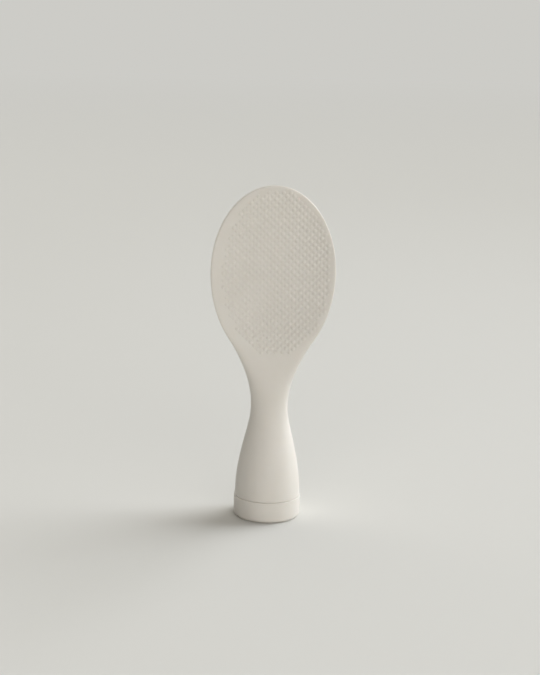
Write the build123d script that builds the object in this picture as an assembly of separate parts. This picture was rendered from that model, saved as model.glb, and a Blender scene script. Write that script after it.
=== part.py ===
from build123d import *

import os
from math import cos, exp, hypot, pi, sin, sqrt
from typing import NamedTuple

# Self-standing rice paddle, in millimetres. It stands upright on its round foot: +Z is up, the
# dished face of the blade looks towards -Y, and the origin is on the floor in the middle of the foot.

# Blade
PADDLE_HEIGHT = 188.0  # floor to the tip of the blade
BLADE_WIDTH = 68.8
WIDEST_HEIGHT = 140.0  # where the blade is widest
LOWER_REACH = 51.3  # from there down to where the blade's oval would close if no neck cut it short
BLADE_WALL = 2.5
DISH_DEPTH = 6.4  # from the plane of the rim to the deepest point of the dish
DISH_SETBACK = 0.6  # the deepest point lies this far in front of the handle's axis
RIM_RADIUS = 0.8  # rounding of the blade's edge
RIM_BAND = 2.0  # width of the rounded edge, seen from the front
TIP_TRIM = 0.02  # the very tip is flat where its rounding is this low

# Neck
NECK_HEIGHT = 64.5
NECK_WIDTH = 20.7
NECK_DEPTH = 15.6

# Handle
SEAM_HEIGHT = 12.0  # the handle ends here and the base cap begins
HANDLE_WIDTH = 36.7
HANDLE_WALL = 2.4
CAVITY_HEADROOM = 4.0  # solid plastic from the top of the hollow to the neck
SEAM_BEVEL = 0.3  # on the handle's lower edge and the cap's upper one: the fine line of the seam

# Socket in the handle's lower end
SOCKET_DEPTH = 11.0
SNAP_HEIGHT = 7.6  # of the snap bead above the seam
SNAP_GROOVE_DEPTH = 0.45
SNAP_GROOVE_WIDTH = 1.9

# Base cap
CAP_WIDTH = 37.4
FOOT_ROUND = 2.2
FOOT_RIM_WIDTH = 3.0  # the flat ring that touches the floor
FOOT_RECESS = 0.8  # the underside stands this clear of the floor
RECESS_BEVEL = 0.4
CAP_FLOOR = 2.2
SPIGOT_HEIGHT = 10.0  # above the seam
SPIGOT_WALL = 2.2
SPIGOT_CLEARANCE = 0.1
SPIGOT_LEAD_IN = 0.7
SNAP_BEAD_HEIGHT = 0.35
SNAP_BEAD_WIDTH = 1.4
SEAL_HEIGHT = 3.2  # middle of the seal groove above the seam
SEAL_GROOVE_WIDTH = 1.5
SEAL_GROOVE_DEPTH = 1.0
CRUSH_RIB_COUNT = 6
CRUSH_RIB_WIDTH = 1.2
CRUSH_RIB_EASE = 0.05  # left between a rib and the weight

# Seal ring and weight
SEAL_EASE = 0.02  # the ring only just touches the socket and the groove's floor
SEAL_SIDE_PLAY = 0.1  # between the ring's flat sides and the groove's
SEAL_BEVEL = 0.2
WEIGHT_CLEARANCE = 0.35  # between the weight and the cap's cup
WEIGHT_HEIGHT = 10.0
WEIGHT_BEVEL = 0.8

# One overrun serves every cut
OVERRUN = 1.0

# The handle's outline: share of the way from the seam to the neck, share of the swelling left there
HANDLE_SHARES = (
    (0.0, 1.0),
    (0.152, 0.955),
    (0.324, 0.823),
    (0.495, 0.604),
    (0.667, 0.345),
    (0.838, 0.088),
    (1.0, 0.0),
)

# The throat, where the oval neck opens into the blade. Every column is a share of the way from the
# neck to the foot of the blade: height, half width, front, back, side edges, squareness.
THROAT_SHARES = (
    (0.200, 0.052, 0.010, 0.055, 0.120, 0.015),
    (0.388, 0.182, 0.088, 0.205, 0.330, 0.060),
    (0.576, 0.378, 0.263, 0.469, 0.590, 0.140),
    (0.764, 0.625, 0.592, 0.766, 0.820, 0.320),
)

# The blade, as shares of a quarter turn round its oval from the widest place: down, then up
LOWER_TURN_SHARES = (-0.44, -0.31, -0.155, 0.0)
UPPER_TURN_SHARES = (0.18, 0.36, 0.51, 0.63, 0.73, 0.81, 0.87, 0.915, 0.95)

# The keel behind the foot of the blade: its extra thickness at the first two lower turns, as a
# share of the neck's depth over the blade's wall, and how square the section already is there
KEEL_SHARES = (0.16, 0.04)
KEEL_SQUARENESS_SHARES = (0.26, 0.55)
ELLIPSE = 2.0  # the squareness of a plain ellipse

# Places along one section's curves, as shares: across a face, and through the thickness of an edge
FACE_SHARES = (-1.0, 0.0, 1.0)
EDGE_SHARES = (-1.0, 0.0, 1.0)
ROUND_FACE_SHARE = 0.7  # of the half width that counts as face where a section is an oval

# How far the hollow's foot spreads towards the socket's wall
SHOULDER_SHARE = 0.33

BLADE_HALF_WIDTH = BLADE_WIDTH / 2
UPPER_REACH = PADDLE_HEIGHT + TIP_TRIM - WIDEST_HEIGHT
HANDLE_RADIUS = HANDLE_WIDTH / 2
SOCKET_RADIUS = HANDLE_RADIUS - HANDLE_WALL
CAP_RADIUS = CAP_WIDTH / 2
SPIGOT_RADIUS = SOCKET_RADIUS - SPIGOT_CLEARANCE
CUP_RADIUS = SPIGOT_RADIUS - SPIGOT_WALL
CUP_FLOOR_HEIGHT = FOOT_RECESS + CAP_FLOOR
WEIGHT_RADIUS = CUP_RADIUS - WEIGHT_CLEARANCE
SEAL_GROOVE_RADIUS = SPIGOT_RADIUS - SEAL_GROOVE_DEPTH


class Section(NamedTuple):
    """One level cut through the paddle: an oval or a flat bar, bent forward at its sides."""

    height: float
    half_width: float
    front: float  # Y of the front face on the centre line
    back: float
    edge: float  # Y of the two side edges
    squareness: float  # 2 is an ellipse, more keeps the thickness out to the edges
    face_share: float  # share of the half width that is face, the rest is rounded edge


def between(start, end, share):
    return start + (end - start) * share


def handle_sections():
    sections = []
    for height_share, swelling_share in HANDLE_SHARES:
        half_depth = between(NECK_DEPTH / 2, HANDLE_RADIUS, swelling_share)
        sections.append(
            Section(
                height=between(SEAM_HEIGHT, NECK_HEIGHT, height_share),
                half_width=between(NECK_WIDTH / 2, HANDLE_RADIUS, swelling_share),
                front=-half_depth,
                back=half_depth,
                edge=0,
                squareness=ELLIPSE,
                face_share=ROUND_FACE_SHARE,
            )
        )
    return sections


def blade_section(turn_share, keel_share=0.0, squareness_share=1.0):
    """A cut through the dished blade, a share of a quarter turn round its oval outline."""
    turn = turn_share * pi / 2
    reach = UPPER_REACH if turn_share > 0 else LOWER_REACH
    height = WIDEST_HEIGHT + reach * sin(turn)
    half_width = BLADE_HALF_WIDTH * cos(turn)

    # A level cut meets the sloping outline askew, which draws the edge's rounding out
    outward = cos(turn) / BLADE_HALF_WIDTH
    along = abs(sin(turn)) / reach
    askew = outward / hypot(outward, along)

    rounding_reach = BLADE_WALL**2 / (8 * RIM_RADIUS)
    tip_distance = PADDLE_HEIGHT + TIP_TRIM - height
    fullness = sqrt(1 - exp(-tip_distance / rounding_reach))
    wall = BLADE_WALL * fullness + keel_share * (NECK_DEPTH - BLADE_WALL)
    face = -DISH_SETBACK - DISH_DEPTH * sin(turn) ** 2
    middle = face + BLADE_WALL / 2
    flatness = 8 * half_width * RIM_RADIUS * askew / BLADE_WALL**2
    return Section(
        height=height,
        half_width=half_width,
        front=middle - BLADE_WALL * fullness / 2,
        back=middle - BLADE_WALL * fullness / 2 + wall,
        edge=BLADE_WALL / 2 - DISH_SETBACK - DISH_DEPTH,
        squareness=max(ELLIPSE, flatness * squareness_share),
        face_share=max(ROUND_FACE_SHARE, 1 - RIM_BAND / (half_width * askew)),
    )


def blade_sections():
    keels = KEEL_SHARES + (0.0,) * (len(LOWER_TURN_SHARES) - len(KEEL_SHARES))
    softness = KEEL_SQUARENESS_SHARES + (1.0,) * (len(keels) - len(KEEL_SQUARENESS_SHARES))
    lower = [blade_section(*row) for row in zip(LOWER_TURN_SHARES, keels, softness)]
    upper = [blade_section(turn_share) for turn_share in UPPER_TURN_SHARES]
    return lower + upper + [tip_section()]


def tip_section():
    """The small flat at the very tip."""
    rise = (UPPER_REACH - TIP_TRIM) / UPPER_REACH
    half_width = BLADE_HALF_WIDTH * sqrt(1 - rise**2)
    half_wall = sqrt(2 * RIM_RADIUS * TIP_TRIM)
    middle = BLADE_WALL / 2 - DISH_SETBACK - DISH_DEPTH
    return Section(
        height=PADDLE_HEIGHT,
        half_width=half_width,
        front=middle - half_wall,
        back=middle + half_wall,
        edge=middle,
        squareness=ELLIPSE,
        face_share=ROUND_FACE_SHARE,
    )


def throat_sections(neck, blade_foot):
    sections = []
    for shares in THROAT_SHARES:
        values = [between(a, b, share) for a, b, share in zip(neck, blade_foot, shares)]
        face_share = between(neck.face_share, blade_foot.face_share, shares[-1])
        sections.append(Section(*values, face_share))
    return sections


def section_face(section):
    """Four smooth curves that run into each other: front face, right edge, back face, left edge."""
    half_wall = (section.back - section.front) / 2
    middle = (section.back + section.front) / 2
    bend = section.edge - middle
    power = section.squareness

    def point(place, from_middle):
        return Vector(section.half_width * place, middle + bend * place**2 + from_middle, section.height)

    def face_point(side, place):
        return point(place, side * half_wall * sqrt(1 - abs(place) ** power))

    def direction(side, place):
        """Along the face towards +X. Only an oval gets thinner here: a flat bar thins in its edges."""
        rounding = min(abs(place), ROUND_FACE_SHARE)
        slope = half_wall * power * rounding ** (power - 1) / (2 * sqrt(1 - rounding**power))
        rise = 2 * bend * place - side * slope * (1 if place > 0 else -1)
        return Vector(section.half_width, rise, 0).normalized()

    def face_curve(side):
        places = [share * section.face_share for share in FACE_SHARES]
        points = [face_point(side, place) for place in places]
        ends = [direction(side, places[0]), direction(side, places[-1])]
        return Edge.make_spline(points, tangents=ends, parameters=FACE_SHARES)

    def edge_curve(hand):
        """Round one side, from the front face to the back face; hand is 1 on the right."""
        start = sqrt(1 - section.face_share**power)
        points = []
        for share in EDGE_SHARES:
            through = start * share
            place = hand * (1 - through**2) ** (1 / power)
            points.append(point(place, half_wall * through))
        leave = direction(-1, hand * section.face_share) * hand
        arrive = direction(1, hand * section.face_share) * -hand
        return Edge.make_spline(points, tangents=[leave, arrive], parameters=EDGE_SHARES)

    return make_face([face_curve(-1), edge_curve(1), face_curve(1), edge_curve(-1)])


def ring_profile(points):
    """A closed outline in the XZ plane, ready to be turned about Z."""
    return make_face(Plane.XZ * Polyline(*points, close=True))


def handle_hollow():
    """What the mould's core leaves inside the handle: a straight socket, then a tapering hollow."""
    socket_top = SEAM_HEIGHT + SOCKET_DEPTH
    top = NECK_HEIGHT - CAVITY_HEADROOM
    taper = [
        (section.back - HANDLE_WALL, section.height)
        for section in handle_sections()
        if socket_top < section.height < top
    ]
    shoulder = between(taper[0][0], SOCKET_RADIUS, SHOULDER_SHARE)
    points = [
        (0, top),
        (0, SEAM_HEIGHT - OVERRUN),
        (SOCKET_RADIUS, SEAM_HEIGHT - OVERRUN),
        (SOCKET_RADIUS, socket_top),
        (shoulder, socket_top),
    ]
    return revolve(ring_profile(points + taper), Axis.Z) + snap_groove()


def snap_groove():
    middle = SEAM_HEIGHT + SNAP_HEIGHT
    half = SNAP_GROOVE_WIDTH / 2
    mouth = SOCKET_RADIUS - OVERRUN
    floor = SOCKET_RADIUS + SNAP_GROOVE_DEPTH
    points = [
        (mouth, middle - half),
        (SOCKET_RADIUS, middle - half),
        (floor, middle - half + SNAP_GROOVE_DEPTH),
        (floor, middle + half - SNAP_GROOVE_DEPTH),
        (SOCKET_RADIUS, middle + half),
        (mouth, middle + half),
    ]
    return revolve(ring_profile(points), Axis.Z)


def paddle_body():
    handle = handle_sections()
    blade = blade_sections()
    throat = throat_sections(handle[-1], blade[0])
    body = loft([section_face(section) for section in handle + throat + blade])
    return body - seam_bevel() - handle_hollow()


def seam_bevel():
    """What comes off the handle's lower edge, a ring outside a cone of 45 degrees."""
    inside = HANDLE_RADIUS - SEAM_BEVEL - OVERRUN
    outside = HANDLE_RADIUS + OVERRUN
    low = SEAM_HEIGHT - OVERRUN
    return revolve(ring_profile([(inside, low), (outside, low), (outside, low + outside - inside)]), Axis.Z)


def base_cap():
    cap = cap_shell()
    rib = Pos(CUP_RADIUS, 0, CUP_FLOOR_HEIGHT) * Box(
        2 * (WEIGHT_CLEARANCE - CRUSH_RIB_EASE),
        CRUSH_RIB_WIDTH,
        WEIGHT_HEIGHT - WEIGHT_BEVEL,
        align=(Align.CENTER, Align.CENTER, Align.MIN),
    )
    return cap + [Rot(0, 0, 360 / CRUSH_RIB_COUNT * turn) * rib for turn in range(CRUSH_RIB_COUNT)]


def cap_shell():
    """The turned shape: foot, cup and spigot in one section."""
    spigot_top = SEAM_HEIGHT + SPIGOT_HEIGHT
    recess_radius = CAP_RADIUS - FOOT_ROUND - FOOT_RIM_WIDTH
    points = [
        (0, FOOT_RECESS),
        (recess_radius, FOOT_RECESS),
        (recess_radius, 0),
        (CAP_RADIUS, 0),
        (CAP_RADIUS, SEAM_HEIGHT),
        (SPIGOT_RADIUS, SEAM_HEIGHT),
        (SPIGOT_RADIUS, spigot_top),
        (CUP_RADIUS, spigot_top),
        (CUP_RADIUS, CUP_FLOOR_HEIGHT),
        (0, CUP_FLOOR_HEIGHT),
    ]
    profile = ring_profile(points)
    corners = profile.vertices()
    profile = fillet(corners.sort_by_distance((CAP_RADIUS, 0, 0))[0], FOOT_ROUND)
    corners = profile.vertices()
    profile = chamfer(corners.sort_by_distance((recess_radius, 0, FOOT_RECESS))[0], RECESS_BEVEL)
    corners = profile.vertices()
    profile = chamfer(corners.sort_by_distance((CAP_RADIUS, 0, SEAM_HEIGHT))[0], SEAM_BEVEL)
    corners = profile.vertices()
    profile = chamfer(corners.sort_by_distance((SPIGOT_RADIUS, 0, spigot_top))[0], SPIGOT_LEAD_IN)
    return revolve(profile, Axis.Z) + snap_bead() - seal_groove()


def snap_bead():
    middle = SEAM_HEIGHT + SNAP_HEIGHT
    half = SNAP_BEAD_WIDTH / 2
    root = SPIGOT_RADIUS - SPIGOT_WALL / 2
    crest = SPIGOT_RADIUS + SNAP_BEAD_HEIGHT
    points = [
        (root, middle - half),
        (SPIGOT_RADIUS, middle - half),
        (crest, middle - half + SNAP_BEAD_HEIGHT),
        (crest, middle + half - SNAP_BEAD_HEIGHT),
        (SPIGOT_RADIUS, middle + half),
        (root, middle + half),
    ]
    return revolve(ring_profile(points), Axis.Z)


def seal_groove():
    middle = SEAM_HEIGHT + SEAL_HEIGHT
    low = middle - SEAL_GROOVE_WIDTH / 2
    high = middle + SEAL_GROOVE_WIDTH / 2
    outside = SPIGOT_RADIUS + OVERRUN
    points = [(SEAL_GROOVE_RADIUS, low), (outside, low), (outside, high), (SEAL_GROOVE_RADIUS, high)]
    return revolve(ring_profile(points), Axis.Z)


def seal_ring():
    """A flat-sided ring with bevelled corners, which fills the groove and meets the socket's wall."""
    inside = SEAL_GROOVE_RADIUS + SEAL_EASE
    outside = SOCKET_RADIUS - SEAL_EASE
    low = SEAM_HEIGHT + SEAL_HEIGHT - SEAL_GROOVE_WIDTH / 2 + SEAL_SIDE_PLAY
    high = SEAM_HEIGHT + SEAL_HEIGHT + SEAL_GROOVE_WIDTH / 2 - SEAL_SIDE_PLAY
    profile = ring_profile([(inside, low), (outside, low), (outside, high), (inside, high)])
    return revolve(chamfer(profile.vertices(), SEAL_BEVEL), Axis.Z)


def ballast_weight():
    slug = Cylinder(WEIGHT_RADIUS, WEIGHT_HEIGHT, align=(Align.CENTER, Align.CENTER, Align.MIN))
    slug = chamfer(slug.edges().filter_by(GeomType.CIRCLE), WEIGHT_BEVEL)
    return Pos(0, 0, CUP_FLOOR_HEIGHT) * slug


PARTS = {
    "paddle_body": paddle_body,
    "base_cap": base_cap,
    "ballast_weight": ballast_weight,
    "seal_ring": seal_ring,
}

os.makedirs("parts", exist_ok=True)
for name, build in PARTS.items():
    shape = build()
    export_step(shape, f"parts/{name}.step")
    print(f"{name}: {shape.volume:.0f} mm3")
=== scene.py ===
import logging
from dataclasses import dataclass, replace
from enum import Enum
from math import asin, cos, exp, hypot, pi, radians, sin, sqrt

import bmesh
import bpy
import numpy as np
from bmesh.types import BMEdge, BMesh, BMLayerItem, BMVert
from bpy.types import Material, Node, NodeSocket, NodeTree, Object, World
from mathutils import Matrix, Vector
from mathutils.bvhtree import BVHTree


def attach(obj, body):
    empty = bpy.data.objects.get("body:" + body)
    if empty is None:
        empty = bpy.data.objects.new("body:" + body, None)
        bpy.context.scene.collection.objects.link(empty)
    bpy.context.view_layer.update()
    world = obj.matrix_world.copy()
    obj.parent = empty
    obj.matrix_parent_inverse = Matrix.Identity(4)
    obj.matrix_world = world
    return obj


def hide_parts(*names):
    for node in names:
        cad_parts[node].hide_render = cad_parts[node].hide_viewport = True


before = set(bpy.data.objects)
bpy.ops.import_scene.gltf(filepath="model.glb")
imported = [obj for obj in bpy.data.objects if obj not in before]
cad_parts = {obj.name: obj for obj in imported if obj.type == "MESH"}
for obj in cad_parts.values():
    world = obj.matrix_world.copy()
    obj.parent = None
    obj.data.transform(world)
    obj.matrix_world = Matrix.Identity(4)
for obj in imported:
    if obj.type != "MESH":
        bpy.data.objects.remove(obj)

# Self-standing rice paddle, in metres, in the row frame: +Z up, the dished face looks towards -Y,
# and the origin is on the floor in the middle of the round foot.

log = logging.getLogger("rice_paddle")

ROOT_BODY = "root"
ELLIPSE = 2.0  # the squareness of a plain ellipse
NO_SHARP_EDGES = 180.0  # degrees: no edge turns by more

GRAIN_DETAIL = 4.0
GRAIN_ROUGHNESS = 0.62
PIT_SHARE = 0.35  # how much the round pits add to the grain's height
GRAIN_RANGE = (0.3, 0.7)  # the part of the noise that the grain's mask spreads over
MOTTLE_DETAIL = 5.0
MOTTLE_ROUGHNESS = 0.55
MOTTLE_DISTORTION = 0.4
MOTTLE_RANGE = (0.35, 0.65)  # the part of the noise over which the tone shifts
RING_TEXTURE_TURN = 20.0  # radians of the ring texture for each metre, at a scale of 1

BLACK = (0.0, 0.0, 0.0, 1.0)
BACKDROP_TONE = (0.609, 0.603, 0.572)
WINDOW_TONE = (0.936, 0.967, 1.0)


class Slot(Enum):
    """The names of the record's material slots."""

    BODY = "body_plastic"
    CAP = "cap_plastic"


class BladeSide(Enum):
    """The two faces of the blade, by the way they look along Y."""

    FRONT = -1
    BACK = 1


Tone = tuple[float, float, float]


def between(start: float, end: float, share: float) -> float:
    """Go a share of the way from start to end."""
    return start + (end - start) * share


# Shader node groups that several finishes use


class NodeSheet:
    """A node tree that is filled by short calls."""

    def __init__(self, tree: NodeTree) -> None:
        """Keep the node tree of a material, group or world, and clear it."""
        self.tree = tree
        tree.nodes.clear()

    def add(self, kind: str, values: dict[str | int, object] | None = None, **settings: object) -> Node:
        """Add a node and set it.

        Args:
            kind: The node's type name.
            values: Plain values of its inputs, by name or number.
            settings: Attributes of the node, such as operation.

        Returns:
            The new node.
        """
        node = self.tree.nodes.new(kind)
        for name, value in settings.items():
            setattr(node, name, value)
        for key, value in (values or {}).items():
            node.inputs[key].default_value = value
        return node

    def link(self, source: NodeSocket, target: NodeSocket) -> None:
        """Join an output to an input."""
        self.tree.links.new(source, target)

    def ease(self, source: NodeSocket, low: float, high: float) -> NodeSocket:
        """Ease from 0 to 1 while a value goes from low to high.

        Args:
            source: The value's socket.
            low: Where the result leaves 0.
            high: Where it reaches 1.

        Returns:
            The result's socket.
        """
        ends = {"From Min": low, "From Max": high}
        spread = self.add("ShaderNodeMapRange", ends, interpolation_type="SMOOTHSTEP")
        self.link(source, spread.inputs["Value"])
        return spread.outputs["Result"]


def new_group(name: str, inputs: dict[str, str], outputs: dict[str, str]) -> NodeSheet:
    """Start a shader node group with named sockets.

    Args:
        name: The group's name.
        inputs: Socket type of each input.
        outputs: Socket type of each output.

    Returns:
        The sheet of the group's tree, with no nodes yet.
    """
    tree = bpy.data.node_groups.new(name, "ShaderNodeTree")
    for in_out, sockets in (("INPUT", inputs), ("OUTPUT", outputs)):
        for socket_name, kind in sockets.items():
            tree.interface.new_socket(name=socket_name, in_out=in_out, socket_type=kind)
    return NodeSheet(tree)


def grain_group() -> NodeTree:
    """Fine moulded grain: a height for bump and a mask for roughness, at a grain size in metres.

    Returns:
        The group, with the outputs Height and Mask.
    """
    sheet = new_group(
        "moulded_grain",
        {"Vector": "NodeSocketVector", "Grain Size": "NodeSocketFloat"},
        {"Height": "NodeSocketFloat", "Mask": "NodeSocketFloat"},
    )
    start = sheet.add("NodeGroupInput")
    end = sheet.add("NodeGroupOutput")
    scale = sheet.add("ShaderNodeMath", {0: 1.0}, operation="DIVIDE")
    sheet.link(start.outputs["Grain Size"], scale.inputs[1])
    grain = sheet.add("ShaderNodeTexNoise", {"Detail": GRAIN_DETAIL, "Roughness": GRAIN_ROUGHNESS})
    sheet.link(start.outputs["Vector"], grain.inputs["Vector"])
    sheet.link(scale.outputs[0], grain.inputs["Scale"])
    pits = sheet.add("ShaderNodeTexVoronoi", feature="SMOOTH_F1")
    sheet.link(start.outputs["Vector"], pits.inputs["Vector"])
    sheet.link(scale.outputs[0], pits.inputs["Scale"])
    both = sheet.add("ShaderNodeMath", {1: PIT_SHARE}, operation="MULTIPLY_ADD")
    sheet.link(pits.outputs["Distance"], both.inputs[0])
    sheet.link(grain.outputs["Fac"], both.inputs[2])
    sheet.link(both.outputs[0], end.inputs["Height"])
    spread = sheet.add("ShaderNodeMapRange", {"From Min": GRAIN_RANGE[0], "From Max": GRAIN_RANGE[1]})
    sheet.link(grain.outputs["Fac"], spread.inputs["Value"])
    sheet.link(spread.outputs["Result"], end.inputs["Mask"])
    return sheet.tree


def mottle_group() -> NodeTree:
    """Slow, faint shifts of tone, as pigment settles in a moulding.

    Returns:
        The group, with the outputs Color and Mask.
    """
    sheet = new_group(
        "pigment_mottle",
        {
            "Vector": "NodeSocketVector",
            "Light Tone": "NodeSocketColor",
            "Deep Tone": "NodeSocketColor",
            "Patch Size": "NodeSocketFloat",
        },
        {"Color": "NodeSocketColor", "Mask": "NodeSocketFloat"},
    )
    start = sheet.add("NodeGroupInput")
    end = sheet.add("NodeGroupOutput")
    scale = sheet.add("ShaderNodeMath", {0: 1.0}, operation="DIVIDE")
    sheet.link(start.outputs["Patch Size"], scale.inputs[1])
    cloud = sheet.add(
        "ShaderNodeTexNoise",
        {"Detail": MOTTLE_DETAIL, "Roughness": MOTTLE_ROUGHNESS, "Distortion": MOTTLE_DISTORTION},
    )
    sheet.link(start.outputs["Vector"], cloud.inputs["Vector"])
    sheet.link(scale.outputs[0], cloud.inputs["Scale"])
    spread = sheet.ease(cloud.outputs["Fac"], *MOTTLE_RANGE)
    blend = sheet.add("ShaderNodeMix", data_type="RGBA")
    sheet.link(spread, blend.inputs["Factor"])
    sheet.link(start.outputs["Light Tone"], blend.inputs["A"])
    sheet.link(start.outputs["Deep Tone"], blend.inputs["B"])
    sheet.link(blend.outputs["Result"], end.inputs["Color"])
    sheet.link(spread, end.inputs["Mask"])
    return sheet.tree


@dataclass(frozen=True)
class Effects:
    """The node groups that the finishes share, built once."""

    grain: NodeTree
    mottle: NodeTree

    @classmethod
    def build(cls) -> "Effects":
        """Build every shared group."""
        return cls(grain=grain_group(), mottle=mottle_group())


@dataclass(frozen=True)
class MaterialStart:
    """A new material with its shader, and object coordinates to pattern it by."""

    material: Material
    sheet: NodeSheet
    shader: Node
    place: NodeSocket

    @classmethod
    def named(cls, name: str) -> "MaterialStart":
        """Start a material.

        Args:
            name: The material's name.

        Returns:
            The material, ready to be dressed.
        """
        material = bpy.data.materials.new(name)
        material.use_nodes = True
        sheet = NodeSheet(material.node_tree)
        shader = sheet.add("ShaderNodeBsdfPrincipled")
        output = sheet.add("ShaderNodeOutputMaterial")
        sheet.link(shader.outputs["BSDF"], output.inputs["Surface"])
        place = sheet.add("ShaderNodeTexCoord").outputs["Object"]
        return cls(material, sheet, shader, place)

    def group(self, tree: NodeTree, **values: object) -> Node:
        """Place a shared group, fed by the object coordinates.

        Args:
            tree: The group to place.
            values: Values for its inputs, with underscores for spaces.

        Returns:
            The group's node.
        """
        node = self.sheet.add("ShaderNodeGroup", node_tree=tree)
        self.sheet.link(self.place, node.inputs["Vector"])
        for name, value in values.items():
            node.inputs[name.replace("_", " ").title()].default_value = value
        return node

    def relief(self, height: NodeSocket, depth: float) -> None:
        """Let a height ripple the surface.

        Args:
            height: The height's socket.
            depth: How far a height of 1 stands out, in metres.
        """
        bump = self.sheet.add("ShaderNodeBump", {"Strength": 1.0, "Distance": depth})
        self.sheet.link(height, bump.inputs["Height"])
        self.sheet.link(bump.outputs["Normal"], self.shader.inputs["Normal"])

    def vary_roughness(self, mask: NodeSocket, smooth: float, rough: float) -> None:
        """Let a mask carry the roughness.

        Args:
            mask: The mask's socket.
            smooth: Roughness where the mask is 0.
            rough: Roughness where it is 1.
        """
        spread = self.sheet.add("ShaderNodeMapRange", {"To Min": smooth, "To Max": rough})
        self.sheet.link(mask, spread.inputs["Value"])
        self.sheet.link(spread.outputs["Result"], self.shader.inputs["Roughness"])


@dataclass(frozen=True)
class Finish:
    """A finish in two close tones that drift over the surface, with the fine relief of its making."""

    name: str
    light_tone: Tone
    deep_tone: Tone
    patch_size: float
    relief_size: float
    relief_depth: float
    smooth_roughness: float
    rough_roughness: float

    def build(self, effects: Effects) -> Material:
        """Make the material.

        Args:
            effects: The shared groups.

        Returns:
            The finished material.
        """
        start = MaterialStart.named(self.name)
        mottle = start.group(
            effects.mottle,
            light_tone=(*self.light_tone, 1.0),
            deep_tone=(*self.deep_tone, 1.0),
            patch_size=self.patch_size,
        )
        start.sheet.link(mottle.outputs["Color"], start.shader.inputs["Base Color"])
        height, mask = self.texture(start, effects, mottle)
        start.relief(height, self.relief_depth)
        start.vary_roughness(mask, self.smooth_roughness, self.rough_roughness)
        for name, value in self.shader_values().items():
            start.shader.inputs[name].default_value = value
        return start.material

    def texture(self, start: MaterialStart, effects: Effects, mottle: Node) -> tuple[NodeSocket, ...]:
        """Make the moulded grain. A finish with another relief makes its own.

        Args:
            start: The material.
            effects: The shared groups.
            mottle: The group that colours it.

        Returns:
            The height of the relief, and the mask that carries the roughness.
        """
        grain = start.group(effects.grain, grain_size=self.relief_size)
        return grain.outputs["Height"], grain.outputs["Mask"]

    def shader_values(self) -> dict[str, object]:
        """Name the shader's values that are the same all over."""
        return {}


@dataclass(frozen=True)
class SatinPlastic(Finish):
    """Warm off-white polypropylene from a finely blasted mould."""

    light_tone: Tone = (0.7, 0.67, 0.62)
    deep_tone: Tone = (0.68, 0.65, 0.597)
    patch_size: float = 0.03
    relief_size: float = 0.00035
    relief_depth: float = 0.000004
    smooth_roughness: float = 0.42
    rough_roughness: float = 0.52
    scatter_weight: float = 0.12
    scatter_reach: float = 0.0012
    scatter_radius: tuple[float, float, float] = (1.0, 0.75, 0.55)
    refraction: float = 1.49

    def shader_values(self) -> dict[str, object]:
        """Name the gloss, and the light that goes under the skin."""
        return {
            "IOR": self.refraction,
            "Subsurface Weight": self.scatter_weight,
            "Subsurface Scale": self.scatter_reach,
            "Subsurface Radius": self.scatter_radius,
        }


@dataclass(frozen=True)
class SealRubber(Finish):
    """Smooth pale grey silicone rubber."""

    name: str = "seal_rubber_pale_grey"
    light_tone: Tone = (0.3, 0.29, 0.27)
    deep_tone: Tone = (0.27, 0.26, 0.24)
    patch_size: float = 0.006
    relief_size: float = 0.0002
    relief_depth: float = 0.000006
    smooth_roughness: float = 0.55
    rough_roughness: float = 0.7


@dataclass(frozen=True)
class TurnedSteel(Finish):
    """Bare steel with the rings of a lathe tool, a relief size apart."""

    name: str = "turned_steel"
    light_tone: Tone = (0.62, 0.62, 0.63)
    deep_tone: Tone = (0.5, 0.5, 0.515)
    patch_size: float = 0.008
    relief_size: float = 0.001885
    relief_depth: float = 0.000012
    ring_waver: float = 0.3
    smooth_roughness: float = 0.24
    rough_roughness: float = 0.38

    def texture(self, start: MaterialStart, effects: Effects, mottle: Node) -> tuple[NodeSocket, ...]:
        """Make the rings, and let the mottle carry the roughness.

        Args:
            start: The material.
            effects: The shared groups.
            mottle: The group that colours it.

        Returns:
            The height of the relief, and the mask that carries the roughness.
        """
        rings = start.sheet.add(
            "ShaderNodeTexWave",
            {"Scale": 2 * pi / (RING_TEXTURE_TURN * self.relief_size), "Distortion": self.ring_waver},
            wave_type="RINGS",
            rings_direction="Z",
        )
        start.sheet.link(start.place, rings.inputs["Vector"])
        return rings.outputs["Fac"], mottle.outputs["Mask"]

    def shader_values(self) -> dict[str, object]:
        """Make it all metal."""
        return {"Metallic": 1.0}


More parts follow.
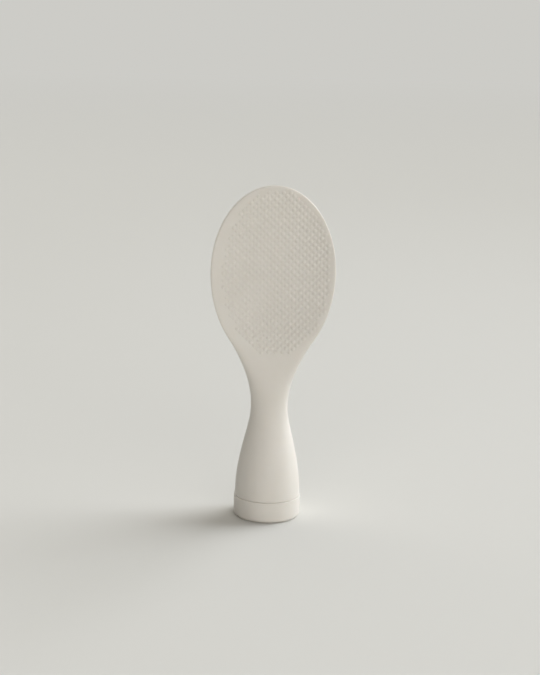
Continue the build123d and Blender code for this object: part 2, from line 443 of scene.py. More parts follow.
@dataclass(frozen=True)
class StudioPaint:
    """The matt pale sweep: a painted pool of light makes it lightest beside the paddle, and far behind it
    glows evenly by itself.
    """

    name: str = "studio_paint"
    # The light tone is painted light: the colour of a painted pool of light round the spot beside the
    # paddle. The deep tone is the even backdrop.
    light_tone: Tone = (0.66, 0.657, 0.631)
    deep_tone: Tone = BACKDROP_TONE
    # Where the painted pool of light is centred, how far it fades out, and how much it is squeezed across
    # X.
    painted_light_spot: tuple[float, float, float] = (0.3, 0.1, 0.0)
    painted_light_reach: float = 1.6
    narrowing: float = 2.0
    glow_start: float = 1.2
    glow_end: float = 5.0
    grain_size: float = 0.0008
    grain_depth: float = 0.00001
    smooth_roughness: float = 0.85
    rough_roughness: float = 0.95

    def build(self, effects: Effects) -> Material:
        """Make the material.

        Args:
            effects: The shared groups.

        Returns:
            The finished material.
        """
        start = MaterialStart.named(self.name)
        sheet = start.sheet
        narrow = (self.narrowing, 1.0, 1.0)
        # Paint a pool of light on the floor: the colour fades from the light tone at the spot to the deep
        # tone further out.
        squeezed = sheet.add("ShaderNodeVectorMath", {1: narrow}, operation="MULTIPLY")
        sheet.link(start.place, squeezed.inputs[0])
        spot = (self.painted_light_spot[0] * self.narrowing, *self.painted_light_spot[1:])
        away = sheet.add("ShaderNodeVectorMath", {1: spot}, operation="DISTANCE")
        sheet.link(squeezed.outputs["Vector"], away.inputs[0])
        painted_pool_falloff = sheet.ease(away.outputs["Value"], 0.0, self.painted_light_reach)
        light, deep = (*self.light_tone, 1.0), (*self.deep_tone, 1.0)
        tone = sheet.add("ShaderNodeMix", {"A": light, "B": deep}, data_type="RGBA")
        sheet.link(painted_pool_falloff, tone.inputs["Factor"])
        axes = sheet.add("ShaderNodeSeparateXYZ")
        sheet.link(start.place, axes.inputs["Vector"])
        behind = sheet.ease(axes.outputs["Y"], self.glow_start, self.glow_end)
        lit = sheet.add("ShaderNodeMix", {"B": BLACK}, data_type="RGBA")
        sheet.link(behind, lit.inputs["Factor"])
        sheet.link(tone.outputs["Result"], lit.inputs["A"])
        sheet.link(lit.outputs["Result"], start.shader.inputs["Base Color"])
        glow = sheet.add("ShaderNodeMix", {"A": BLACK, "B": deep}, data_type="RGBA")
        sheet.link(behind, glow.inputs["Factor"])
        sheet.link(glow.outputs["Result"], start.shader.inputs["Emission Color"])
        start.shader.inputs["Emission Strength"].default_value = 1.0
        grain = start.group(effects.grain, grain_size=self.grain_size)
        start.relief(grain.outputs["Height"], self.grain_depth)
        start.vary_roughness(grain.outputs["Mask"], self.smooth_roughness, self.rough_roughness)
        start.shader.inputs["Specular IOR Level"].default_value = 0.0
        return start.material


# Meshes


def finish_mesh(bm: BMesh, name: str, sharp_angle: float) -> Object:
    """Turn a bmesh into a finished object at the origin, with its faces outward.

    Args:
        bm: The shape, freed here.
        name: The piece's name.
        sharp_angle: Edges that turn by more than this stay crisp, in degrees.

    Returns:
        The new object, linked to the scene.
    """
    bmesh.ops.recalc_face_normals(bm, faces=bm.faces)
    for face in bm.faces:
        face.smooth = True
    mesh = bpy.data.meshes.new(name)
    bm.to_mesh(mesh)
    bm.free()
    mesh.set_sharp_from_angle(angle=radians(sharp_angle))
    piece = bpy.data.objects.new(name, mesh)
    bpy.context.scene.collection.objects.link(piece)
    return piece


def extrude_loop(bm: BMesh, edges: list[BMEdge]) -> tuple[list[BMVert], list[BMEdge]]:
    """Extrude a loop or chain of edges in place.

    Args:
        bm: The bmesh that holds it.
        edges: The edges to extrude.

    Returns:
        The new vertices and the new edges between them, for the caller to move.
    """
    made = bmesh.ops.extrude_edge_only(bm, edges=edges)["geom"]
    verts = [part for part in made if isinstance(part, BMVert)]
    fresh = set(verts)
    lines = [part for part in made if isinstance(part, BMEdge)]
    return verts, [line for line in lines if fresh.issuperset(line.verts)]


@dataclass(frozen=True)
class Section:
    """One level cut through the paddle: an oval or a flat bar, bent forward at its sides."""

    height: float
    half_width: float
    front: float
    back: float
    edge: float
    squareness: float
    face_share: float

    @classmethod
    def circle(cls, height: float, radius: float, face_share: float) -> "Section":
        """A round cut about the handle's axis."""
        return cls(height, radius, -radius, radius, 0.0, ELLIPSE, face_share)

    def outline(self, face_steps: int, edge_steps: int) -> list[Vector]:
        """Walk once round the cut.

        Args:
            face_steps: Steps across each face.
            edge_steps: Steps through the thickness of each side.

        Returns:
            The points, from the front face's left end to its right and round the back.
        """
        half_wall = (self.back - self.front) / 2
        middle = (self.back + self.front) / 2
        face_turn = asin(self.face_share)
        edge_turn = asin(sqrt(1 - self.face_share**self.squareness))
        walk = []
        for side in (-1, 1):
            for step in range(face_steps):
                place = sin(between(-face_turn, face_turn, step / face_steps))
                thickness = sqrt(1 - abs(place) ** self.squareness)
                walk.append((-side * place, side * thickness))
            for step in range(edge_steps):
                thickness = sin(between(-edge_turn, edge_turn, step / edge_steps))
                place = (1 - thickness**2) ** (1 / self.squareness)
                walk.append((-side * place, -side * thickness))
        bend = self.edge - middle
        points = []
        for place, thickness in walk:
            depth = middle + bend * place**2 + thickness * half_wall
            points.append(Vector((self.half_width * place, depth, self.height)))
        return points


class SectionTrack:
    """Sections joined by natural cubic splines along the outline."""

    def __init__(self, sections: list[Section]) -> None:
        """Fit the splines.

        Args:
            sections: The cuts to pass through, from the foot up.
        """
        self.values = np.array([list(vars(section).values()) for section in sections])
        steps = np.hypot(*np.diff(self.values[:, :2], axis=0).T)
        self.travel = np.concatenate([[0.0], np.cumsum(steps)])
        count = len(sections)
        system = np.eye(count)
        pull = np.zeros_like(self.values)
        for i in range(1, count - 1):
            before, after = steps[i - 1], steps[i]
            system[i, i - 1 : i + 2] = before, 2 * (before + after), after
            rise_after = (self.values[i + 1] - self.values[i]) / after
            rise_before = (self.values[i] - self.values[i - 1]) / before
            pull[i] = 6 * (rise_after - rise_before)
        self.curve = np.linalg.solve(system, pull)

    def at(self, travel: float) -> Section:
        """Read the section at a distance along the outline.

        Args:
            travel: The distance from the first section.

        Returns:
            The section there.
        """
        i = int(np.clip(np.searchsorted(self.travel, travel) - 1, 0, len(self.travel) - 2))
        span = self.travel[i + 1] - self.travel[i]
        left, right = (self.travel[i + 1] - travel) / span, (travel - self.travel[i]) / span
        bow_left = (left**3 - left) * span**2 / 6
        bow_right = (right**3 - right) * span**2 / 6
        row = left * self.values[i] + right * self.values[i + 1]
        row = row + bow_left * self.curve[i] + bow_right * self.curve[i + 1]
        section = Section(*(float(value) for value in row))
        return replace(section, squareness=max(ELLIPSE, section.squareness))

    def sections(self, spacing: float) -> list[Section]:
        """Read evenly spaced sections from end to end."""
        count = round(self.travel[-1] / spacing)
        return [self.at(self.travel[-1] * i / count) for i in range(count + 1)]


@dataclass(frozen=True)
class PaddleForm:
    """The outside sizes of the moulding, as the source of the part has them."""

    height: float = 0.188
    blade_width: float = 0.0688
    widest_height: float = 0.140
    lower_reach: float = 0.0513
    blade_wall: float = 0.0025
    dish_depth: float = 0.0064
    dish_setback: float = 0.0006
    rim_radius: float = 0.0008
    rim_band: float = 0.002
    tip_trim: float = 0.000005
    neck_height: float = 0.0645
    neck_width: float = 0.0207
    neck_depth: float = 0.0156
    seam_height: float = 0.012
    handle_width: float = 0.0367
    round_face_share: float = 0.7
    handle_shares: tuple[tuple[float, float], ...] = (
        (0.0, 1.0),
        (0.152, 0.955),
        (0.324, 0.823),
        (0.495, 0.604),
        (0.667, 0.345),
        (0.838, 0.088),
        (1.0, 0.0),
    )
    throat_shares: tuple[tuple[float, ...], ...] = (
        (0.200, 0.052, 0.010, 0.055, 0.120, 0.015),
        (0.388, 0.182, 0.088, 0.205, 0.330, 0.060),
        (0.576, 0.378, 0.263, 0.469, 0.590, 0.140),
        (0.764, 0.625, 0.592, 0.766, 0.820, 0.320),
    )
    foot_turn_share: float = -0.44
    keel_shares: tuple[float, ...] = (0.16, 0.04)
    keel_squareness_shares: tuple[float, ...] = (0.26, 0.55)
    turn_step_share: float = 0.13
    last_turn_share: float = 0.97

    @property
    def half_width(self) -> float:
        """Half the blade's width."""
        return self.blade_width / 2

    @property
    def upper_reach(self) -> float:
        """From the widest place up to where the blade's oval closes."""
        return self.height + self.tip_trim - self.widest_height

    def handle_sections(self) -> list[Section]:
        """Cut the handle from the seam to the neck.

        Returns:
            The sections, round at the seam and oval at the neck.
        """
        sections = []
        for height_share, swelling_share in self.handle_shares:
            height = between(self.seam_height, self.neck_height, height_share)
            half_width = between(self.neck_width / 2, self.handle_width / 2, swelling_share)
            half_depth = between(self.neck_depth / 2, self.handle_width / 2, swelling_share)
            oval = Section(
                height, half_width, -half_depth, half_depth, 0.0, ELLIPSE, self.round_face_share
            )
            sections.append(oval)
        return sections

    def blade_section(self, turn_share: float, keel_share: float, squareness_share: float) -> Section:
        """Cut the dished blade.

        Args:
            turn_share: Share of a quarter turn round the oval, from the widest place up.
            keel_share: Extra thickness as a share of the neck's depth over the wall.
            squareness_share: How much of the flat bar's squareness the cut has.

        Returns:
            The section.
        """
        turn = turn_share * pi / 2
        reach = self.upper_reach if turn_share > 0 else self.lower_reach
        height = self.widest_height + reach * sin(turn)
        half_width = self.half_width * cos(turn)
        outward = cos(turn) / self.half_width
        along = abs(sin(turn)) / reach
        askew = outward / hypot(outward, along)
        # The wall thins out at the tip, over the depth of an oval whose end has the rim's radius.
        rounding_reach = self.blade_wall**2 / (8 * self.rim_radius)
        fullness = sqrt(1 - exp((height - self.height - self.tip_trim) / rounding_reach))
        wall = self.blade_wall * fullness
        middle = self.blade_wall / 2 - self.dish_setback - self.dish_depth * sin(turn) ** 2
        # A bar of this squareness has the rim's radius at its ends.
        flatness = 8 * half_width * self.rim_radius * askew / self.blade_wall**2
        return Section(
            height=height,
            half_width=half_width,
            front=middle - wall / 2,
            back=middle + wall / 2 + keel_share * (self.neck_depth - self.blade_wall),
            edge=self.blade_wall / 2 - self.dish_setback - self.dish_depth,
            squareness=max(ELLIPSE, flatness * squareness_share),
            face_share=max(self.round_face_share, 1 - self.rim_band / (half_width * askew)),
        )

    def blade_sections(self) -> list[Section]:
        """Cut the blade from its foot to its tip.

        Returns:
            The sections, evenly spaced round the oval, and the small flat at the tip.
        """
        count = round((self.last_turn_share - self.foot_turn_share) / self.turn_step_share)
        step = (self.last_turn_share - self.foot_turn_share) / count
        turns = [self.foot_turn_share + step * i for i in range(count + 1)]
        plain = len(turns) - len(self.keel_shares)
        keels = self.keel_shares + (0.0,) * plain
        softness = self.keel_squareness_shares + (1.0,) * plain
        return [self.blade_section(*row) for row in zip(turns, keels, softness)] + [self.tip_section()]

    def tip_section(self) -> Section:
        """Cut the very tip.

        Returns:
            A tiny oval.
        """
        rise = (self.upper_reach - self.tip_trim) / self.upper_reach
        half_wall = sqrt(2 * self.rim_radius * self.tip_trim)
        middle = self.blade_wall / 2 - self.dish_setback - self.dish_depth
        half_width = self.half_width * sqrt(1 - rise**2)
        front, back = middle - half_wall, middle + half_wall
        return Section(self.height, half_width, front, back, middle, ELLIPSE, self.round_face_share)

    def throat_sections(self, neck: Section, blade_foot: Section) -> list[Section]:
        """Cut the throat, where the oval neck opens into the blade.

        Args:
            neck: The handle's last section.
            blade_foot: The blade's first section.

        Returns:
            The sections between the two.
        """
        ends = list(zip(vars(neck).values(), vars(blade_foot).values()))
        sections = []
        for shares in self.throat_shares:
            columns = zip(ends, (*shares, shares[-1]))
            sections.append(Section(*(between(start, end, share) for (start, end), share in columns)))
        return sections

    def sections(self, spacing: float) -> list[Section]:
        """Cut the whole outside, from the seam to the tip.

        Args:
            spacing: Distance from one cut to the next along the outline.

        Returns:
            The sections.
        """
        handle = self.handle_sections()
        blade = self.blade_sections()
        throat = self.throat_sections(handle[-1], blade[0])
        return SectionTrack(handle + throat + blade).sections(spacing)


@dataclass(frozen=True)
class PaddleBody:
    """The one-piece moulding: blade, neck and hollow handle in one closed skin."""

    form: PaddleForm
    name: str = "paddle_moulding"
    handle_wall: float = 0.0024
    cavity_headroom: float = 0.004
    dome_tip_radius: float = 0.0004
    socket_depth: float = 0.011
    shoulder_share: float = 0.33
    seam_gap: float = 0.00012
    seam_gap_depth: float = 0.0009
    seam_rounding: float = 0.0002
    seam_steps: int = 5
    snap_height: float = 0.0076
    snap_groove_depth: float = 0.00045
    snap_groove_width: float = 0.0019
    ring_spacing: float = 0.0007
    face_steps: int = 30
    edge_steps: int = 16
    sharp_angle: float = 38.0

    def hollow(self) -> list[Section]:
        """Cut the hollow from its top down to the socket's mouth.

        Returns:
            Round sections, from a small one at the top.
        """
        socket_radius = self.form.handle_width / 2 - self.handle_wall
        seam = self.form.seam_height
        socket_top = seam + self.socket_depth
        top = self.form.neck_height - self.cavity_headroom
        taper = [
            (section.height, section.back - self.handle_wall)
            for section in reversed(self.form.handle_sections())
            if socket_top < section.height < top
        ]
        shoulder = between(taper[-1][1], socket_radius, self.shoulder_share)
        middle = seam + self.snap_height
        half = self.snap_groove_width / 2
        floor = socket_radius + self.snap_groove_depth
        rings = [(top, self.dome_tip_radius), *taper, (socket_top, shoulder), (socket_top, socket_radius)]
        rings += [
            (middle + half, socket_radius),
            (middle + half - self.snap_groove_depth, floor),
            (middle - half + self.snap_groove_depth, floor),
            (middle - half, socket_radius),
            (seam, socket_radius),
        ]
        return [Section.circle(height, radius, self.form.round_face_share) for height, radius in rings]

    def seam_edge(self) -> list[Section]:
        """Cut the rounded lower edge of the handle, which leaves a hair's breadth open above the cap.

        Returns:
            Round sections, from the underside outwards.
        """
        radius = self.form.handle_width / 2
        seam = self.form.seam_height
        gap_floor = radius - self.seam_gap_depth
        rings = [(seam, gap_floor), (seam + self.seam_gap, gap_floor)]
        for step in range(self.seam_steps + 1):
            turn = pi / 2 * step / self.seam_steps
            rise = self.seam_gap + self.seam_rounding * (1 - cos(turn))
            rings.append((seam + rise, radius - self.seam_rounding * (1 - sin(turn))))
        return [Section.circle(height, ring, self.form.round_face_share) for height, ring in rings]

    def outside(self) -> list[Section]:
        """Cut the outside above the rounded edge."""
        start = self.form.seam_height + self.seam_gap + 2 * self.seam_rounding
        return [section for section in self.form.sections(self.ring_spacing) if section.height > start]

    def build(self) -> Object:
        """Model the skin ring by ring, up the hollow's wall from its top and out to the tip.

        Returns:
            The moulding.
        """
        bm = bmesh.new()
        rings = self.hollow() + self.seam_edge() + self.outside()
        around = 2 * (self.face_steps + self.edge_steps)
        place = bm.verts.layers.int.new("place_in_ring")
        verts = bmesh.ops.create_circle(bm, segments=around, radius=self.dome_tip_radius)["verts"]
        for number, vert in enumerate(verts):
            vert[place] = number
        edges = list(bm.edges)
        self.shape_ring(verts, place, rings[0])
        first_edges = edges
        for section in rings[1:]:
            verts, edges = extrude_loop(bm, edges)
            self.shape_ring(verts, place, section)
        bmesh.ops.contextual_create(bm, geom=first_edges)
        bmesh.ops.contextual_create(bm, geom=edges)
        return finish_mesh(bm, self.name, self.sharp_angle)

    def shape_ring(self, verts: list[BMVert], place: BMLayerItem, section: Section) -> None:
        """Move one ring's vertices onto a section.

        Args:
            verts: The ring's vertices, in any order.
            place: The layer that holds each vertex's place in its ring.
            section: The cut to follow.
        """
        outline = section.outline(self.face_steps, self.edge_steps)
        for vert in verts:
            vert.co = outline[vert[place]]


@dataclass(frozen=True)
class BladeDots:
    """Raised dots that keep rice from sticking, on one face of the blade."""

    form: PaddleForm
    side: BladeSide
    pitch_across: float = 0.003894
    pitch_up: float = 0.003855
    slant: float = 1.07
    middle_height: float = 0.137
    shift_across: float = -0.0005
    shift_up: float = -0.0012
    border: float = 0.0013
    field_shift: float = 0.002
    foot_margin: float = 0.0022
    dot_radius: float = 0.00128
    dot_height: float = 0.0004
    sunk: float = 0.00004
    dot_sides: int = 10
    dot_rings: int = 3
    sharp_angle: float = 60.0

    @property
    def name(self) -> str:
        """The piece's name."""
        return f"blade_dots_{self.side.name.lower()}"

    def centres(self) -> list[tuple[float, float]]:
        """Lay out the staggered lattice over the dished face.

        Returns:
            X and Z of each dot inside the oval border.
        """
        reach = round(self.form.height / self.pitch_up)
        slant = radians(self.slant)
        # The lattice is even along the dish's curve, so it closes up a little towards the sides.
        arc_share = (2 * self.form.dish_depth / self.form.half_width**2) ** 2 / 6
        spots = []
        for row in range(-reach, reach + 1):
            for column in range(-reach, reach + 1):
                if (row + column) % 2:
                    continue
                across = column * self.pitch_across / 2 + self.shift_across
                up = row * self.pitch_up / 2 + self.shift_up
                along = across * cos(slant) - up * sin(slant)
                height = across * sin(slant) + up * cos(slant) + self.middle_height
                x = along - arc_share * along**3
                if self.inside_border(x, height):
                    spots.append((x, height))
        return spots

    def inside_border(self, x: float, height: float) -> bool:
        """Tell whether a dot lies inside the field, an oval in from the blade's edge.

        Args:
            x: The dot's place across the blade.
            height: Its height.

        Returns:
            True inside.
        """
        inset = self.border + self.dot_radius
        rise = height - self.form.widest_height
        reach = self.form.upper_reach if rise > 0 else self.form.lower_reach - self.foot_margin
        half_width = self.form.half_width - self.field_shift
        return hypot((x - self.field_shift) / (half_width - inset), rise / (reach - inset)) < 1

    def dome(self) -> bpy.types.Mesh:
        """Model one dot at the origin, with its top towards +Z and closed underneath.

        Returns:
            The dot's mesh.
        """
        bm = bmesh.new()
        bmesh.ops.create_circle(bm, cap_ends=True, segments=self.dot_sides, radius=self.dot_radius)
        bmesh.ops.translate(bm, vec=(0, 0, -self.sunk), verts=bm.verts)
        level, radius = -self.sunk, self.dot_radius
        edges = list(bm.edges)
        for ring in range(1, self.dot_rings + 1):
            verts, edges = extrude_loop(bm, edges)
            share = ring / (self.dot_rings + 1)
            next_radius = self.dot_radius * (1 - share)
            next_level = self.dot_height * (1 - (1 - share) ** 2)
            bmesh.ops.scale(bm, vec=(next_radius / radius, next_radius / radius, 1), verts=verts)
            bmesh.ops.translate(bm, vec=(0, 0, next_level - level), verts=verts)
            level, radius = next_level, next_radius
        top = bmesh.ops.contextual_create(bm, geom=edges)["faces"]
        crown = bmesh.ops.poke(bm, faces=top)["verts"]
        bmesh.ops.translate(bm, vec=(0, 0, self.dot_height - level), verts=crown)
        bmesh.ops.recalc_face_normals(bm, faces=bm.faces)
        mesh = bpy.data.meshes.new("dot_dome")
        bm.to_mesh(mesh)
        bm.free()
        return mesh

    def build(self, body: Object) -> Object:
        """Set the dots on the blade.

        Args:
            body: The moulding that carries them.

        Returns:
            All the dots of this side as one piece.
        """
        skin = bmesh.new()
        skin.from_mesh(body.data)
        tree = BVHTree.FromBMesh(skin)
        skin.free()
        dome = self.dome()
        bm = bmesh.new()
        outward = Vector((0, self.side.value, 0))
        for x, height in self.centres():
            start = Vector((x, 0, height)) + outward * self.form.height
            hit, normal, _, _ = tree.ray_cast(start, -outward)
            stand = normal.to_track_quat("Z", "X").to_matrix().to_4x4()
            dot = dome.copy()
            dot.transform(Matrix.Translation(hit) @ stand)
            bm.from_mesh(dot)
            bpy.data.meshes.remove(dot)
        bpy.data.meshes.remove(dome)
        return finish_mesh(bm, self.name, self.sharp_angle)


@dataclass(frozen=True)
class BaseCap:
    """The round foot with its standing rim, the weight's cup and the spigot that plugs the handle."""

    name: str = "foot_cap"
    width: float = 0.0374
    seam_height: float = 0.012
    foot_round: float = 0.0022
    foot_rim_width: float = 0.003
    foot_recess: float = 0.0008
    recess_round: float = 0.0004
    floor: float = 0.0022
    spigot_height: float = 0.010
    spigot_radius: float = 0.01585
    spigot_wall: float = 0.0022
    lead_in: float = 0.0007
    seam_rounding: float = 0.0003
    bead_height: float = 0.00035
    bead_width: float = 0.0014
    bead_middle: float = 0.0076
    groove_middle: float = 0.0032
    groove_width: float = 0.0015
    groove_depth: float = 0.001
    rib_count: int = 6
    rib_width: float = 0.0012
    rib_reach: float = 0.0003
    rib_height: float = 0.0092
    round_steps: int = 6
    pole_radius: float = 0.0003
    turn_steps: int = 146
    sharp_angle: float = 38.0

    def corners(self) -> list[tuple[float, float, float]]:
        """List the turned profile from the cup's floor, over the spigot and down to the underside.

        Returns:
            Radius, height and rounding of each corner.
        """
        radius = self.width / 2
        spigot = self.spigot_radius
        cup = spigot - self.spigot_wall
        cup_floor = self.foot_recess + self.floor
        top = self.seam_height + self.spigot_height
        bead = self.seam_height + self.bead_middle
        bead_foot, bead_top = self.bead_width / 2, self.bead_width / 2 - self.bead_height
        crest = spigot + self.bead_height
        groove = self.seam_height + self.groove_middle
        half_groove = self.groove_width / 2
        groove_floor = spigot - self.groove_depth
        recess_radius = radius - self.foot_round - self.foot_rim_width
        return [
            (self.pole_radius, cup_floor, 0.0),
            (cup, cup_floor, 0.0),
            (cup, top, 0.0),
            (spigot - self.lead_in, top, 0.0),
            (spigot, top - self.lead_in, 0.0),
            (spigot, bead + bead_foot, 0.0),
            (crest, bead + bead_top, 0.0),
            (crest, bead - bead_top, 0.0),
            (spigot, bead - bead_foot, 0.0),
            (spigot, groove + half_groove, 0.0),
            (groove_floor, groove + half_groove, 0.0),
            (groove_floor, groove - half_groove, 0.0),
            (spigot, groove - half_groove, 0.0),
            (spigot, self.seam_height, 0.0),
            (radius, self.seam_height, self.seam_rounding),
            (radius, 0.0, self.foot_round),
            (recess_radius, 0.0, 0.0),
            (recess_radius, self.foot_recess, self.recess_round),
            (self.pole_radius, self.foot_recess, 0.0),
        ]

    def build(self) -> Object:
        """Turn the profile about the handle's axis and add the crush ribs.

        Returns:
            The cap.
        """
        bm = bmesh.new()
        corners = self.corners()
        verts = [bm.verts.new((radius, 0, height)) for radius, height, _ in corners]
        for start, end in zip(verts, verts[1:]):
            bm.edges.new((start, end))
        for vert, (_, _, rounding) in zip(verts, corners):
            if rounding:
                bmesh.ops.bevel(
                    bm, geom=[vert], offset=rounding, segments=self.round_steps,
                    profile=0.5, affect="VERTICES", material=-1,
                )
        profile = list(bm.verts) + list(bm.edges)
        bmesh.ops.spin(
            bm, geom=profile, cent=(0, 0, 0), axis=(0, 0, 1), dvec=(0, 0, 0),
            angle=2 * pi, steps=self.turn_steps, use_merge=True,
        )
        bmesh.ops.remove_doubles(bm, verts=bm.verts, dist=self.pole_radius / self.turn_steps)
        bmesh.ops.holes_fill(bm, edges=[edge for edge in bm.edges if edge.is_boundary], sides=0)
        self.add_ribs(bm)
        return finish_mesh(bm, self.name, self.sharp_angle)

    def add_ribs(self, bm: BMesh) -> None:
        """Stand the crush ribs round the cup's wall.

        Args:
            bm: The cap's bmesh.
        """
        cup = self.spigot_radius - self.spigot_wall
        size = Matrix.Diagonal((2 * self.rib_reach, self.rib_width, self.rib_height, 1))
        middle = self.foot_recess + self.floor + self.rib_height / 2
        for turn in range(self.rib_count):
            around = Matrix.Rotation(2 * pi * turn / self.rib_count, 4, "Z")
            spot = around @ Matrix.Translation((cup, 0, middle))
            bmesh.ops.create_cube(bm, size=1, matrix=spot @ size)


# Studio


@dataclass(frozen=True)
class SoftLight:
    """A broad, far and even light."""

    name: str
    bearing: float
    elevation: float
    spread: float
    strength: float
    tone: Tone

    def build(self) -> Object:
        """Hang the light, which shines from its bearing towards the origin.

        Returns:
            The light's object.
        """
        lamp = bpy.data.lights.new(self.name, "SUN")
        lamp.angle = radians(self.spread)
        lamp.energy = self.strength
        lamp.color = self.tone
        rig = bpy.data.objects.new(self.name, lamp)
        turn, lift = radians(self.bearing), radians(self.elevation)
        rig.location = (cos(turn) * cos(lift), sin(turn) * cos(lift), sin(lift))
        rig.rotation_euler = rig.location.to_track_quat("Z", "Y").to_euler()
        bpy.context.scene.collection.objects.link(rig)
        return rig


@dataclass(frozen=True)
class Sweep:
    """The floor that curves up into the backdrop."""

    name: str = "studio_sweep"
    width: float = 24.0
    near: float = -12.0
    far: float = 8.0
    bend_radius: float = 2.0
    wall_top: float = 6.0
    bend_steps: int = 24

    def build(self) -> Object:
        """Draw the floor's near edge back, round the bend and up the wall.

        Returns:
            The sweep.
        """
        bm = bmesh.new()
        ends = [bm.verts.new((side * self.width / 2, self.near, 0)) for side in (-1, 1)]
        edges = [bm.edges.new(ends)]
        stops = [(self.far, 0.0)]
        for step in range(1, self.bend_steps + 1):
            turn = pi / 2 * step / self.bend_steps
            stops.append((self.far + self.bend_radius * sin(turn), self.bend_radius * (1 - cos(turn))))
        stops.append((self.far + self.bend_radius, self.wall_top))
        place = (self.near, 0.0)
        for stop in stops:
            verts, edges = extrude_loop(bm, edges)
            bmesh.ops.translate(bm, vec=(0, stop[0] - place[0], stop[1] - place[1]), verts=verts)
            place = stop
        piece = finish_mesh(bm, self.name, NO_SHARP_EDGES)
        if piece.data.polygons[0].normal.z < 0:
            piece.data.flip_normals()
        return piece


@dataclass(frozen=True)
class StudioCamera:
    """The camera at the photograph's viewing angle."""

    name: str = "studio_camera"
    distance: float = 0.9
    azimuth: float = -3.5
    elevation: float = 18.6
    yaw: float = 0.04
    pitch: float = 12.21
    roll: float = 1.53
    lens: float = 83.73
    nearest: float = 0.05
    farthest: float = 30.0

    def build(self) -> Object:
        """Set the camera up and make it the scene's.

        Returns:
            The camera's object.
        """
        data = bpy.data.cameras.new(self.name)
        data.lens = self.lens
        data.clip_start = self.nearest
        data.clip_end = self.farthest
        rig = bpy.data.objects.new(self.name, data)
        turn = radians(self.azimuth)
        lift = radians(self.elevation)
        back = Vector((sin(turn) * cos(lift), -cos(turn) * cos(lift), sin(lift)))
        stand = Matrix.Translation(back * self.distance)
        heading = Matrix.Rotation(turn + radians(self.yaw), 4, "Z")
        tilt = Matrix.Rotation(pi / 2 - radians(self.pitch), 4, "X")
        rig.matrix_world = stand @ heading @ tilt @ Matrix.Rotation(radians(self.roll), 4, "Z")
        bpy.context.scene.collection.objects.link(rig)
        bpy.context.scene.camera = rig
        return rig


@dataclass(frozen=True)
class Studio:
    """Floor, soft light and camera."""

    sweep: Sweep
    camera: StudioCamera
    lights: tuple[SoftLight, ...]
    air_strength: float = 0.02
    air_tone: Tone = (1.0, 0.95, 0.87)
    horizon_tone: Tone = BACKDROP_TONE

    def build(self, paint: Material) -> None:
        """Set the studio up.

        Args:
            paint: The sweep's material.
        """
        floor = self.sweep.build()
        floor.data.materials.append(paint)
        for light in self.lights:
            light.build()
        bpy.context.scene.world = self.surroundings()
        self.camera.build()
        bpy.context.scene.view_settings.view_transform = "Standard"

    def surroundings(self) -> World:
        """Fill the air with a faint glow that looks pale to the camera and in reflections.

        Returns:
            The world.
        """
        world = bpy.data.worlds.new("studio_air")
        world.use_nodes = True
        sheet = NodeSheet(world.node_tree)
        air = {"Color": (*self.air_tone, 1.0), "Strength": self.air_strength}
        glow = sheet.add("ShaderNodeBackground", air)
        horizon = sheet.add("ShaderNodeBackground", {"Color": (*self.horizon_tone, 1.0)})
        rays = sheet.add("ShaderNodeLightPath")
        seen = sheet.add("ShaderNodeMath", operation="MAXIMUM")
        sheet.link(rays.outputs["Is Camera Ray"], seen.inputs[0])
        sheet.link(rays.outputs["Is Glossy Ray"], seen.inputs[1])
        blend = sheet.add("ShaderNodeMixShader")
        sheet.link(seen.outputs[0], blend.inputs[0])
        sheet.link(glow.outputs[0], blend.inputs[1])
        sheet.link(horizon.outputs[0], blend.inputs[2])
        output = sheet.add("ShaderNodeOutputWorld")
        sheet.link(blend.outputs[0], output.inputs["Surface"])
        return world


@dataclass(frozen=True)
class CadFinish:
    """A finish for a piece that stays as the frame has it."""

    node: str
    material: Material

    def dress(self) -> Object:
        """Give the frame's piece its finish.

        Returns:
            The piece.
        """
        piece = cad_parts[self.node]
        for slot in piece.material_slots:
            slot.material = self.material
        return piece


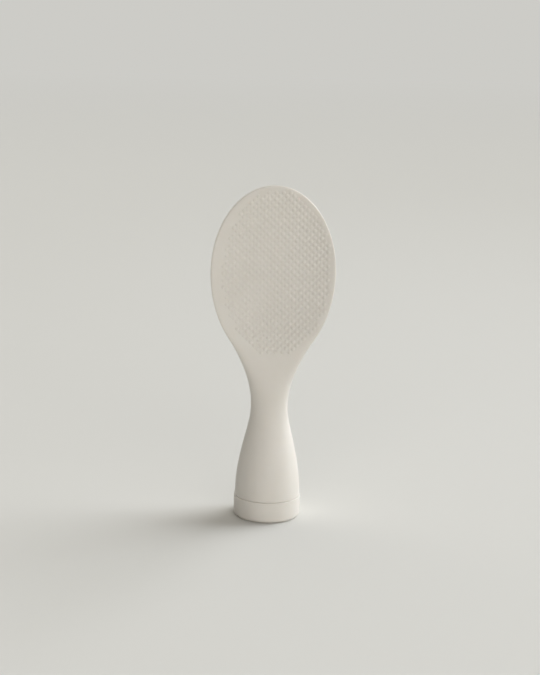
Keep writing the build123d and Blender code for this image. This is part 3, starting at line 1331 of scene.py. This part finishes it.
def set_in_frame(piece: Object, node: str | None, material: Material) -> None:
    """Give a new piece its finish and its place in the frame.

    Args:
        piece: The new piece.
        node: The frame's node that it stands for, if any.
        material: Its finish.
    """
    piece.data.materials.append(material)
    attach(piece, ROOT_BODY)
    if node is not None:
        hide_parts(node)
    low = min(corner[2] for corner in piece.bound_box)
    high = max(corner[2] for corner in piece.bound_box)
    log.info("%s: %d faces, from %.4f to %.4f m", piece.name, len(piece.data.polygons), low, high)


def main() -> None:
    """Build the paddle and its studio."""
    logging.basicConfig(level=logging.INFO, format="%(name)s: %(message)s")
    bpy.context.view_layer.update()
    effects = Effects.build()
    body_plastic = SatinPlastic("body_satin_plastic").build(effects)
    dot_plastic = SatinPlastic("dot_satin_plastic", scatter_weight=0.0).build(effects)
    cap_plastic = SatinPlastic("cap_satin_plastic").build(effects)

    form = PaddleForm()
    body = PaddleBody(form).build()
    set_in_frame(body, "paddle_body", body_plastic)
    for side in BladeSide:
        dots = BladeDots(form, side).build(body)
        set_in_frame(dots, None, dot_plastic)
    cap = BaseCap().build()
    set_in_frame(cap, "base_cap", cap_plastic)

    for finish in (
        CadFinish("ballast_weight", TurnedSteel().build(effects)),
        CadFinish("seal_ring", SealRubber().build(effects)),
    ):
        piece = finish.dress()
        log.info("%s: %d faces", piece.name, len(piece.data.polygons))

    studio = Studio(
        sweep=Sweep(),
        camera=StudioCamera(),
        lights=(
            SoftLight("high_key", bearing=30, elevation=35, spread=50, strength=2.33, tone=WINDOW_TONE),
            SoftLight("low_key", bearing=15, elevation=25, spread=40, strength=1.06, tone=WINDOW_TONE),
            SoftLight(
                "back_light", bearing=90, elevation=45, spread=90, strength=1.5, tone=(1.0, 0.95, 0.86)
            ),
            SoftLight(
                "right_fill", bearing=-60, elevation=14, spread=60, strength=0.93, tone=(1.0, 0.995, 0.985)
            ),
            SoftLight(
                "front_fill", bearing=-90, elevation=14, spread=60, strength=1.12, tone=(1.0, 0.955, 0.9)
            ),
        ),
    )
    studio.build(StudioPaint().build(effects))


if __name__ == "__main__":
    main()
